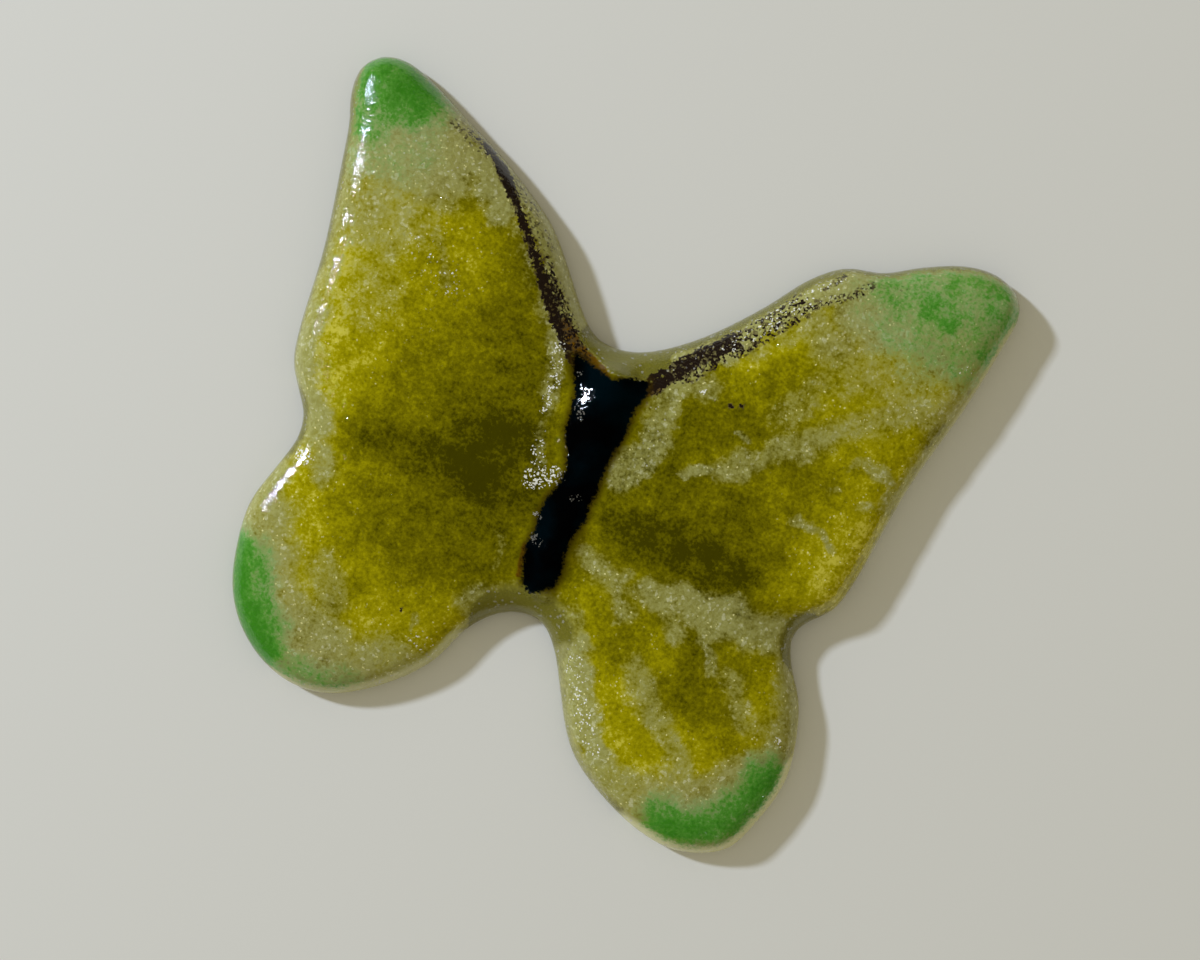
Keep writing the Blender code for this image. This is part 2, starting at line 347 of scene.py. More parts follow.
    green: list[Sprinkle] = field(default_factory=lambda: runs(
        (((-36.2, 33.6), (-32.0, 32.8)), 1.6, 6.0, 1.05),
        (((-35.8, 31.5), (-35.4, 28.6)), 0.8, 4.2, 0.84),
        (((-35.0, 26.8), (-31.0, 27.2)), 1.8, 6.0, 0.32),
        (((-34.8, -20.6), (-33.6, -24.0), (-31.2, -27.4), (-29.0, -29.5)), 0.7, 4.4, 1.22),
        (((-32.6, -20.6), (-31.2, -24.2), (-29.0, -27.0)), 0.8, 3.6, 0.86),
        (((-28.0, -30.2), (-23.0, -31.4), (-18.6, -31.2)), 0.3, 4.2, 0.62),
        (((29.0, 28.4), (30.4, 27.6)), 0.5, 4.0, 0.90),
        (((34.6, 31.2), (37.0, 29.4)), 0.5, 4.0, 0.82),
        (((25.5, 29.0), (33.0, 30.5), (36.4, 27.0)), 1.6, 4.8, 0.66),
        (((26.0, 25.6), (33.6, 24.4)), 1.2, 5.0, 0.50),
        (((22.5, 27.0), (30.0, 22.4)), 1.0, 5.5, 0.28),
        (((18.4, -33.4), (21.8, -33.4), (25.0, -31.2), (27.4, -27.8), (27.8, -25.6)),
         0.2, 4.4, 1.06),
    ))
    vein: list[Sprinkle] = field(default_factory=lambda: runs(
        (((-26.4, 31.4), (-22.0, 29.4)), 0.4, 1.0, 0.24),
        (((-24.6, 31.0), (-22.6, 30.2)), 0.05, 0.5, 0.60),
        (((-22.6, 30.2), (-20.3, 28.5), (-18.8, 26.8), (-17.0, 24.5), (-15.0, 22.0),
          (-12.8, 19.0), (-11.0, 16.8), (-9.5, 14.8), (-8.0, 12.6), (-6.4, 10.8)),
         0.16, 0.60, 1.15),
        (((-20.3, 28.5), (-18.0, 25.8)), 0.30, 0.6, 1.3),
        (((-12.0, 18.0), (-9.0, 14.0)), 0.30, 0.7, 1.2),
        (((-18.5, 28.0), (-15.5, 24.8), (-12.5, 21.0)), 0.4, 1.2, 0.24),
        (((-13.0, 20.0), (-10.2, 16.8), (-7.6, 13.6), (-5.4, 11.4)), 0.6, 1.0, 0.56),
        (((-10.6, 17.4), (-8.0, 14.2), (-6.2, 12.2)), 0.5, 0.8, 0.68),
        (((11.38, 11.4), (11.42, 11.4)), 0.12, 0.30, 1.1),
        (((12.43, 11.7), (12.47, 11.7)), 0.10, 0.30, 1.0),
        (((-15.72, -20.5), (-15.68, -20.5)), 0.10, 0.24, 0.95),
        (((2.6, 10.9), (4.9, 13.5), (7.2, 15.9), (9.4, 18.0)), 0.7, 0.7, 1.08),
        (((9.4, 18.0), (12.4, 21.2), (14.9, 24.4)), 0.6, 0.9, 0.48),
        (((17.2, 26.7), (18.8, 28.7)), 0.1, 0.7, 0.36),
        (((6.0, 12.8), (9.0, 16.0), (11.8, 18.6), (14.5, 22.0), (17.0, 24.6)), 0.35, 0.7, 0.52),
        (((17.0, 24.8), (20.0, 26.6), (22.0, 28.4)), 0.1, 0.8, 0.42),
        (((22.0, 28.4), (26.5, 29.5)), 0.1, 0.8, 0.16),
    ))
    amber: list[Sprinkle] = field(default_factory=lambda: runs(
        (((-8.4, 14.2), (-6.4, 12.4), (-4.2, 11.2), (-2.6, 10.3)), 0.35, 0.8, 0.95),
        (((2.5, 10.2), (3.6, 11.4)), 0.3, 0.7, 0.8),
        (((2.6, 9.0), (1.6, 5.0), (1.0, 2.0)), 0.2, 0.5, 0.30),
        (((-5.0, -9.8), (-4.7, -13.0)), 0.1, 0.5, 0.75),
    ))
    # Painted glints on the grains and the body's rings, with a few real frosted grains among
    # them
    spark: list[Sprinkle] = field(default_factory=lambda: runs(
        (((-6.4, -2.6), (-4.4, -1.6)), 0.6, 0.9, 1.0),
        (((-8.2, 12.0), (-7.4, 8.0), (-7.6, 5.0)), 0.2, 0.7, 0.70),
        (((-7.2, 2.0), (-6.4, -1.0)), 0.3, 0.8, 0.45),
        (((-31.4, -7.8), (-30.4, -8.2)), 0.4, 0.7, 0.75),
        (((-5.2, 9.9), (-4.9, 9.5)), 0.1, 0.4, 0.60),
        (((-4.2, 5.9), (-3.5, 5.3)), 0.2, 0.4, 0.70),
        (((-4.4, -8.6), (-3.8, -8.9)), 0.2, 0.5, 0.80),
        (((-1.6, -3.4), (-1.0, -2.9)), 0.2, 0.4, 0.60),
        (((-5.0, -6.2), (-4.4, -6.6)), 0.1, 0.5, 0.50),
        (((8.1, 11.8), (8.2, 11.9)), 0.15, 0.25, 2.4),
        (((-26.0, 17.5), (-21.5, 14.5)), 0.8, 1.6, 0.15),
        (((-13.0, -23.0), (-11.0, -24.0)), 0.4, 1.2, 0.18),
        (((-33.0, 27.0), (-26.0, 27.0)), 1.0, 3.0, 0.07),
        (((34.0, 22.8), (34.8, 23.0)), 0.2, 0.5, 0.40),
        (((27.4, -21.4), (27.8, -21.6)), 0.1, 0.4, 0.80),
        (((4.4, 9.0), (4.4, 3.0)), 0.8, 0.8, 0.08),
        (((4.6, 13.4), (9.0, 17.4)), 0.6, 0.9, 0.08),
        (((9.4, 17.8), (13.0, 21.6), (18.4, 28.0)), 0.7, 0.9, 0.24),
        (((-33.4, -1.8), (-31.4, -5.0)), 0.5, 1.2, 0.10),
        (((3.4, -19.4), (7.0, -26.0), (8.8, -28.6)), 0.6, 0.8, 0.28),
    ))
    margin: list[Sprinkle] = field(default_factory=lambda: runs(
        (((-38.6, 31.0), (-38.0, 28.5), (-37.2, 23.0), (-36.4, 14.0)), 1.5, 3.0, 0.85),
        (((-36.3, 14.0), (-36.0, 4.0)), 1.5, 3.0, 0.40),
        (((-33.0, -3.0), (-32.4, -6.8)), 0.8, 2.0, 0.90),
        (((-6.0, -16.4), (-4.4, -15.4), (-0.6, -15.2), (1.2, -17.0)), 1.3, 4.0, 2.8),
        (((-4.2, 12.8), (1.6, 12.9)), 1.8, 1.4, 3.4),
        (((2.0, 14.6), (9.0, 20.8), (13.5, 25.8), (18.0, 29.6)), 1.0, 1.2, 1.0),
        (((19.0, 30.2), (28.0, 33.0), (34.0, 34.2)), 1.4, 1.6, 0.70),
        (((3.0, -23.0), (8.0, -31.0), (14.0, -35.0)), 1.2, 1.6, 0.70),
        (((14.0, -35.0), (22.0, -36.4), (28.0, -32.0), (30.0, -25.0)), 1.2, 1.6, 0.85),
        (((25.6, -9.4), (26.4, -10.8)), 1.4, 2.4, 1.8),
        (((38.8, 28.0), (37.0, 19.5), (34.0, 9.6), (32.4, 2.0)), 1.0, 1.4, 0.62),
        (((-28.0, -33.0), (-20.4, -32.0), (-14.0, -28.6), (-9.0, -22.4)), 1.0, 1.4, 0.66),
    ))
    # Painted glow along rims on the far side from the lamp, for its light focused through the
    # glass
    painted_glow: list[Sprinkle] = field(default_factory=lambda: runs(
        (((-28.0, -33.0), (-20.4, -32.0), (-14.0, -28.6), (-9.0, -22.4)), 1.0, 1.6, 0.80),
        (((39.0, 30.0), (37.0, 19.5), (34.0, 9.6), (32.4, 1.0)), 1.0, 1.4, 0.80),
        (((30.8, -14.0), (31.0, -22.0), (29.8, -27.6), (26.5, -33.2), (22.0, -36.4),
          (15.0, -36.4)), 1.2, 1.6, 1.0),
        (((3.2, -20.0), (6.4, -29.0), (12.0, -35.0)), 0.9, 1.4, 0.34),
    ))
    body_ring: Line = (
        (-6.4, 11.4), (-6.1, 10.0), (-5.1, 8.0), (-4.8, 5.5), (-4.8, 3.6), (-4.0, 1.5),
        (-3.3, -0.6), (-3.7, -2.5), (-4.4, -4.4), (-4.7, -6.4), (-4.5, -7.5), (-4.9, -9.7),
        (-4.8, -11.1), (-4.4, -12.5), (-4.0, -14.0), (-3.0, -14.8), (-1.9, -14.0),
        (-0.7, -13.1), (-0.3, -11.6), (-0.6, -9.3), (-0.4, -7.8), (-0.1, -6.4), (0.4, -5.0),
        (0.3, -3.4), (0.7, -1.8), (0.6, -0.3), (0.9, 2.1), (1.6, 5.0), (1.7, 7.7),
        (2.4, 9.6), (2.3, 11.1), (1.6, 11.3), (-0.3, 10.8), (-1.5, 10.1), (-2.6, 10.4),
        (-4.1, 11.0), (-5.9, 11.6))

    def fields(self, places: np.ndarray, to_rim: np.ndarray) -> dict[Grain, np.ndarray]:
        """Work out every field of colour at each place.

        Args:
            places: Flat positions, one row each.
            to_rim: How far inside the rim each place lies.

        Returns:
            One array of values for each field.
        """
        def strongest(colour: list[Sprinkle], at: np.ndarray) -> np.ndarray:
            """Take the strongest run of a colour at each place."""
            return np.max([run.over(at) for run in colour], axis=0)

        loose = wander(wander(places, *self.coarse), *self.close)
        firm = wander(places, *self.steady)
        ring = edges_of(self.body_ring, closed=True)
        to_body = distance_to_edges(places, ring)
        return {
            Grain.TONE: self.base_tone + sum(run.over(loose) for run in self.tone),
            Grain.PALE: strongest(self.pale, loose),
            Grain.GREEN: strongest(self.green, firm),
            Grain.VEIN: strongest(self.vein, places),
            Grain.AMBER: strongest(self.amber, places),
            Grain.SPARK: strongest(self.spark, places),
            Grain.MARGIN: self.base_margin + strongest(self.margin, places),
            Grain.BODY: np.where(inside(places, ring), to_body, -to_body),
            Grain.PAINTED_GLOW: strongest(self.painted_glow, firm),
            Grain.RIM: to_rim,
        }


class NodeBench:
    """A short hand for laying out a finish's nodes."""

    def __init__(self, material: bpy.types.Material) -> None:
        """Open a material.

        Args:
            material: The material whose nodes are laid out.
        """
        material.use_nodes = True
        self.tree = material.node_tree
        self.shader = self.tree.nodes["Principled BSDF"]
        self.place = self.tree.nodes.new("ShaderNodeTexCoord").outputs["Object"]

    def put(self, value: object, socket: Socket) -> None:
        """Feed a socket.

        Args:
            value: Another node's output, a number or a colour.
            socket: The input that takes it.
        """
        if isinstance(value, Socket):
            self.tree.links.new(value, socket)
        elif isinstance(value, tuple):
            socket.default_value = (*value, 1.0)
        else:
            socket.default_value = value

    def field(self, grain: Grain) -> Socket:
        """Read one of the fields stored on the surface.

        Args:
            grain: The field.

        Returns:
            Its value at each place.
        """
        node = self.tree.nodes.new("ShaderNodeAttribute")
        node.attribute_name = grain.value
        return node.outputs["Fac"]

    def sum(self, kind: Sum, *values: object) -> Socket:
        """Do one sum.

        Args:
            kind: Which sum it is.
            values: Up to three outputs or numbers.

        Returns:
            The result.
        """
        node = self.tree.nodes.new("ShaderNodeMath")
        node.operation = kind.value
        for value, socket in zip(values, node.inputs):
            self.put(value, socket)
        return node.outputs[0]

    def noise(self, size: float, detail: float, rough: float) -> Socket:
        """Make soft noise.

        Args:
            size: The width of its blots.
            detail: How many finer layers it has.
            rough: How strong the finer layers are.

        Returns:
            A value around 0.5.
        """
        node = self.tree.nodes.new("ShaderNodeTexNoise")
        node.inputs["Scale"].default_value = 1.0 / (size * MM)
        node.inputs["Detail"].default_value = detail
        node.inputs["Roughness"].default_value = rough
        self.put(self.place, node.inputs["Vector"])
        return node.outputs[0]

    def lots(self, size: float) -> tuple[Socket, ...]:
        """Pack grains side by side and draw three lots for each.

        Args:
            size: The width of a grain.

        Returns:
            Three values from 0 to 1, each even all over a grain.
        """
        cells = self.tree.nodes.new("ShaderNodeTexVoronoi")
        cells.inputs["Scale"].default_value = 1.0 / (size * MM)
        self.put(self.place, cells.inputs["Vector"])
        split = self.tree.nodes.new("ShaderNodeSeparateColor")
        self.put(cells.outputs["Color"], split.inputs[0])
        return tuple(split.outputs)

    def ease(self, value: object, low: float, high: float) -> Socket:
        """Turn a value into a soft mask.

        Args:
            value: The value.
            low: Where the mask is empty.
            high: Where it is full.

        Returns:
            The mask, from 0 to 1.
        """
        node = self.tree.nodes.new("ShaderNodeMapRange")
        node.interpolation_type = "SMOOTHSTEP"
        self.put(value, node.inputs["Value"])
        node.inputs["From Min"].default_value = low
        node.inputs["From Max"].default_value = high
        return node.outputs["Result"]

    def ramp(self, value: object, stops: Shares, colours: tuple[Colour, ...]) -> Socket:
        """Turn a value into a colour.

        Args:
            value: The value.
            stops: Where along it each colour is pure, in rising order.
            colours: The colours.

        Returns:
            The colour.
        """
        node = self.tree.nodes.new("ShaderNodeValToRGB")
        self.put(value, node.inputs[0])
        elements = node.color_ramp.elements
        while len(elements) < len(stops):
            elements.new(0.5)
        for element, stop, colour in zip(elements, stops, colours):
            element.position = stop
            element.color = (*colour, 1.0)
        return node.outputs[0]

    def blend(self, share: object, under: object, over: object) -> Socket:
        """Lay one colour over another.

        Args:
            share: How much of the upper colour shows.
            under: The lower colour.
            over: The upper colour.

        Returns:
            The blended colour.
        """
        node = self.tree.nodes.new("ShaderNodeMix")
        node.data_type = "RGBA"
        factor, lower, upper = node.inputs[0], node.inputs[6], node.inputs[7]
        for value, socket in ((share, factor), (under, lower), (over, upper)):
            self.put(value, socket)
        return node.outputs[2]


class Grit:
    """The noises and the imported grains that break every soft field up.

    A noise is given by its width, the number of its finer layers and how strong they are.
    All of them lie around the middle. A field below the trace stays empty.
    """

    FINE = (0.38, 2.5, 0.62)
    MID = (1.7, 4.0, 0.6)
    WIDE = (5.5, 3.0, 0.5)
    MIDDLE = 0.5
    TRACE = 0.3

    def __init__(self, bench: NodeBench, grain_size: float) -> None:
        """Set out the noises and the grains.

        Args:
            bench: The finish's nodes.
            grain_size: The width of a grain.
        """
        self.bench = bench
        self.fine = bench.noise(*self.FINE)
        self.mid = bench.noise(*self.MID)
        self.wide = bench.noise(*self.WIDE)
        self.lot, self.second_lot, self.third_lot = bench.lots(grain_size)

    def stir(self, value: object, *weights: float) -> Socket:
        """Break a soft field up by noise and by single grains.

        Args:
            value: The soft field.
            weights: How much the fine noise, the mid one, each grain and the wide noise
                shift it, in this order, as far as they are given.

        Returns:
            The uneven field.
        """
        for part, weight in zip((self.fine, self.mid, self.lot, self.wide), weights):
            offset = self.bench.sum(Sum.LESS, part, self.MIDDLE)
            value = self.bench.sum(Sum.TIMES_PLUS, offset, weight, value)
        return value

    def keep(self, uneven: Socket, soft: object) -> Socket:
        """Keep an uneven field empty where its soft field is.

        Args:
            uneven: The uneven field.
            soft: The soft field that it was made of.

        Returns:
            The uneven field, without stray grains.
        """
        return self.bench.sum(Sum.TIMES, uneven, self.bench.ease(soft, 0.0, self.TRACE))

    def mask(self, soft: object, span: Span, weights: Shares) -> Socket:
        """Turn a soft field into an uneven mask that stays empty where the field is.

        Args:
            soft: The soft field.
            span: Where the mask starts and where it is full.
            weights: The shares that stirring takes.

        Returns:
            The mask.
        """
        return self.keep(self.bench.ease(self.stir(soft, *weights), *span), soft)


@dataclass(frozen=True)
class FusedGlass:
    """The finish of the whole casting: grains of colour fused into clear glass, with light and
    shade painted in places.

    A colour is linear red, green and blue, and a size is the width of a grain. A stir says
    how much each kind of grit breaks a field up, in the order of Grit.stir. A span says
    where a mask starts and where it is full, stops say where the colours of a ramp are
    pure, and a share says how much of something shows.
    """

    dark_olive: Colour = (0.062, 0.056, 0.0005)
    olive: Colour = (0.215, 0.192, 0.0012)
    yellow: Colour = (0.42, 0.375, 0.002)
    light_yellow: Colour = (0.68, 0.62, 0.07)
    pale_low: Colour = (0.33, 0.32, 0.088)
    pale_high: Colour = (0.43, 0.43, 0.155)
    white: Colour = (0.58, 0.585, 0.33)
    # Painted highlight: tiny bright specks for the lamp's glints on the grains
    glint: Colour = (0.92, 0.88, 0.40)
    green_pale: Colour = (0.33, 0.48, 0.21)
    green: Colour = (0.10, 0.33, 0.038)
    green_deep: Colour = (0.050, 0.25, 0.014)
    brown: Colour = (0.018, 0.011, 0.007)
    brown_edge: Colour = (0.115, 0.085, 0.040)
    amber: Colour = (0.16, 0.078, 0.003)
    fringe: Colour = (0.045, 0.026, 0.001)
    black: Colour = (0.0006, 0.0007, 0.0008)
    # Painted sheen: faint teal patches on the black body for a faint reflection on it
    teal_sheen: Colour = (0.0004, 0.004, 0.006)
    clear: Colour = (0.48, 0.45, 0.065)
    # Painted glow of the rim: lamp light focused through the glass, painted as a pale colour
    painted_glow: Colour = (0.90, 0.89, 0.48)
    bubble: Colour = (0.80, 0.79, 0.60)
    # The white of the painted glints and of the few frosted grains
    frost_and_glint: Colour = (0.95, 0.96, 0.90)

    grain_size: float = 0.34
    speck_size: float = 0.25
    spark_size: float = 0.16

    tone_stir: Shares = (0.85, 0.8, 0.10, 0.45)
    tone_stops: Shares = (0.0, 0.42, 0.78, 1.0)
    rim_thinning: Span = (2.4, 0.0)
    rim_thinning_share: float = 0.38
    pale_stir: Shares = (1.0, 1.25, 0.08)
    pale_span: Span = (0.18, 1.0)
    pale_share: float = 0.92
    pale_tint_stir: Shares = (0.7, 0.5)
    pale_tint_stops: Shares = (0.0, 0.9, 1.0)
    # Where the painted highlights fall, and how much they show
    glint_span: Span = (0.988, 0.993)
    glint_ground: Span = (0.4, 0.9)
    glint_share: float = 0.8
    green_stir: Shares = (0.8, 0.9, 0.1)
    green_span: Span = (-0.1, 1.0)
    green_tint_stir: Shares = (1.3, 1.1, 0.16, 0.7)
    green_tint_share: float = 0.75
    green_tint_stops: Shares = (0.19, 0.62, 0.95)
    amber_stir: Shares = (0.8, 0.5, 0.2)
    amber_span: Span = (0.2, 0.8)
    vein_crowding: float = 0.5
    vein_span: Span = (0.0, 0.34)
    halo_span: Span = (-0.16, 0.06)
    halo_ground: Span = (0.05, 0.35)
    halo_share: float = 0.75
    # How crowded the painted glints are
    spark_crowding: float = 0.36
    spark_span: Span = (0.0, 0.06)
    body_stir: Shares = (1.2, 0.5)
    body_span: Span = (-0.22, 0.22)
    body_tint_stops: Shares = (0.42, 0.62)
    body_spark_share: float = 0.5
    fringe_span: Span = (-0.85, -0.05)
    fringe_share: float = 0.75
    cover_stir: Shares = (1.1, 1.0, 0.10)
    cover_span: Span = (-0.5, 0.5)
    # How the painted rim glow is broken up
    painted_glow_stir: Shares = (0.5, 0.4)
    bubble_span: Span = (0.95, 0.97)
    clear_share: float = 0.66
    # How much less clear the painted glow makes the rim
    painted_glow_loss: float = 0.45

    ior: float = 1.5
    roughness: float = 0.07
    relief: float = 0.085 * MM
    relief_base: float = 0.3
    relief_by_grains: float = 0.5
    body_relief_loss: float = 0.75

    def make(self) -> bpy.types.Material:
        """Lay out the finish.

        Returns:
            The material.
        """
        material = bpy.data.materials.new("fused coloured glass")
        mix = GlassMix(self, material)
        mix.lay_olive()
        mix.lay_pale()
        mix.lay_glints()
        mix.lay_green()
        mix.lay_amber_and_brown()
        mix.lay_sparks()
        mix.lay_body()
        mix.pour_clear_glass()
        mix.finish_surface()
        return material


class GlassMix:
    """One batch of the finish, laid out colour over colour.

    Every step keeps the mask of where its colour shows, for the steps that follow.
    """

    def __init__(self, look: FusedGlass, material: bpy.types.Material) -> None:
        """Set out the grit and the depth inside the clear rim.

        Args:
            look: The colours and shares of the finish.
            material: The material that it goes into.
        """
        self.look = look
        self.bench = NodeBench(material)
        self.grit = Grit(self.bench, look.grain_size)
        self.specks = self.bench.lots(look.speck_size)[0]
        self.tiny = self.bench.lots(look.spark_size)[0]
        self.depth = self.bench.sum(Sum.LESS, self.bench.field(Grain.RIM),
                                    self.bench.field(Grain.MARGIN))

    def lay(self, mask: Socket, colour: object, share: float = 1.0) -> None:
        """Lay a colour over what is there.

        Args:
            mask: Where it shows.
            colour: The colour.
            share: How much of it shows where the mask is full.
        """
        weight = self.bench.sum(Sum.TIMES, mask, share)
        self.colour = self.bench.blend(weight, self.colour, colour)

    def lay_olive(self) -> None:
        """Start with the olive and yellow grains."""
        look, bench = self.look, self.bench
        # The tone holds the grains' own tone and also painted light and shade on the wings'
        # slopes
        self.tone = self.grit.stir(bench.field(Grain.TONE), *look.tone_stir)
        tints = (look.dark_olive, look.olive, look.yellow, look.light_yellow)
        self.colour = bench.ramp(self.tone, look.tone_stops, tints)

    def lay_pale(self) -> None:
        """Add the pale crystals, and a few more where the face thins to the rim."""
        look, bench = self.look, self.bench
        thin = bench.sum(Sum.TIMES, bench.ease(self.depth, *look.rim_thinning),
                         look.rim_thinning_share)
        soft = bench.sum(Sum.MOST, bench.field(Grain.PALE), thin)
        self.pale = self.grit.mask(soft, look.pale_span, look.pale_stir)
        tint = self.grit.stir(self.grit.second_lot, *look.pale_tint_stir)
        tints = (look.pale_low, look.pale_high, look.white)
        self.lay(self.pale, bench.ramp(tint, look.pale_tint_stops, tints), look.pale_share)

    def lay_glints(self) -> None:
        """Add painted highlights: tiny bright specks on the yellow and the pale ground."""
        look, bench = self.look, self.bench
        ground = bench.ease(bench.sum(Sum.ADD, self.tone, self.pale), *look.glint_ground)
        glint = bench.sum(Sum.TIMES, bench.ease(self.tiny, *look.glint_span), ground)
        self.lay(glint, look.glint, look.glint_share)

    def lay_green(self) -> None:
        """Add the green tips, deepest where most of it was sprinkled."""
        look, bench = self.look, self.bench
        soft = bench.field(Grain.GREEN)
        self.green = self.grit.mask(soft, look.green_span, look.green_stir)
        tint = bench.sum(Sum.TIMES, self.grit.stir(soft, *look.green_tint_stir),
                         look.green_tint_share)
        tints = (look.green_pale, look.green, look.green_deep)
        self.lay(self.green, bench.ramp(tint, look.green_tint_stops, tints))

    def lay_amber_and_brown(self) -> None:
        """Add the amber glass, then the brown grains of the veins with paler edges."""
        look, bench = self.look, self.bench
        self.amber = self.grit.mask(bench.field(Grain.AMBER), look.amber_span,
                                    look.amber_stir)
        self.lay(self.amber, look.amber)
        soft = bench.field(Grain.VEIN)
        loose = bench.sum(Sum.TIMES, soft,
                          bench.sum(Sum.ADD, self.grit.fine, look.vein_crowding))
        crowd = bench.sum(Sum.LESS, loose, self.specks)
        halo = bench.sum(Sum.TIMES, bench.ease(crowd, *look.halo_span),
                         bench.ease(soft, *look.halo_ground))
        self.lay(halo, look.brown_edge, look.halo_share)
        self.vein = bench.ease(crowd, *look.vein_span)
        self.lay(self.vein, look.brown)

    def lay_sparks(self) -> None:
        """Add painted glints: white specks for the lamp's highlights, and a few frosted grains.
        """
        look, bench = self.look, self.bench
        crowd = bench.sum(Sum.TIMES_PLUS, bench.field(Grain.SPARK), look.spark_crowding,
                          bench.sum(Sum.TIMES, self.tiny, -1.0))
        self.spark = bench.ease(crowd, *look.spark_span)
        self.lay(self.spark, look.frost_and_glint)

    def lay_body(self) -> None:
        """Add the black body, its brown fringe and painted teal sheen, with painted glints on
        it.
        """
        look, bench = self.look, self.bench
        soft = self.grit.stir(bench.field(Grain.BODY), *look.body_stir)
        self.lay(bench.ease(soft, *look.fringe_span), look.fringe, look.fringe_share)
        self.body = bench.ease(soft, *look.body_span)
        # Painted sheen: the teal patches stand in for a faint reflection on the black glass
        tint = bench.ramp(self.grit.wide, look.body_tint_stops, (look.black, look.teal_sheen))
        # The painted glints show through the black body
        through = bench.sum(Sum.TIMES, self.spark, look.body_spark_share)
        self.lay(bench.sum(Sum.TIMES, self.body, bench.sum(Sum.LESS, 1.0, through)), tint)

    def pour_clear_glass(self) -> None:
        """Leave clear glass round the colours, bubbly in places, with a painted glow on some
        rims.
        """
        look, bench = self.look, self.bench
        cover = bench.ease(self.grit.stir(self.depth, *look.cover_stir), *look.cover_span)
        for mask in (self.body, self.vein, self.amber):
            cover = bench.sum(Sum.MOST, cover, mask)
        # Painted glow: the rim is painted pale where lamp light would shine through it
        soft = bench.field(Grain.PAINTED_GLOW)
        painted_glow = self.grit.keep(self.grit.stir(soft, *look.painted_glow_stir), soft)
        glass = bench.blend(painted_glow, look.clear, look.painted_glow)
        glass = bench.blend(bench.ease(self.specks, *look.bubble_span), glass, look.bubble)
        bench.put(bench.blend(cover, glass, self.colour), bench.shader.inputs["Base Color"])
        # The glass is less clear where the painted glow is
        share = bench.sum(Sum.TIMES_PLUS, painted_glow, -look.painted_glow_loss, look.clear_share)
        clear = bench.sum(Sum.TIMES, bench.sum(Sum.LESS, 1.0, cover), share)
        bench.put(clear, bench.shader.inputs["Transmission Weight"])

    def finish_surface(self) -> None:
        """Make the surface glossy, and raise the single grains a little."""
        look, bench = self.look, self.bench
        gloss = bench.sum(Sum.TIMES, self.grit.fine, look.roughness)
        bench.put(gloss, bench.shader.inputs["Roughness"])
        bench.put(look.ior, bench.shader.inputs["IOR"])
        grains = bench.sum(Sum.TIMES_PLUS, bench.sum(Sum.MOST, self.pale, self.green),
                           look.relief_by_grains, look.relief_base)
        off_body = bench.sum(Sum.TIMES_PLUS, self.body, -look.body_relief_loss, 1.0)
        bump = bench.tree.nodes.new("ShaderNodeBump")
        bench.put(look.relief, bump.inputs["Distance"])
        bench.put(bench.sum(Sum.TIMES, grains, off_body), bump.inputs["Strength"])
        bench.put(bench.sum(Sum.ADD, self.grit.fine, self.grit.third_lot),
                  bump.inputs["Height"])
        bench.put(bump.outputs[0], bench.shader.inputs["Normal"])


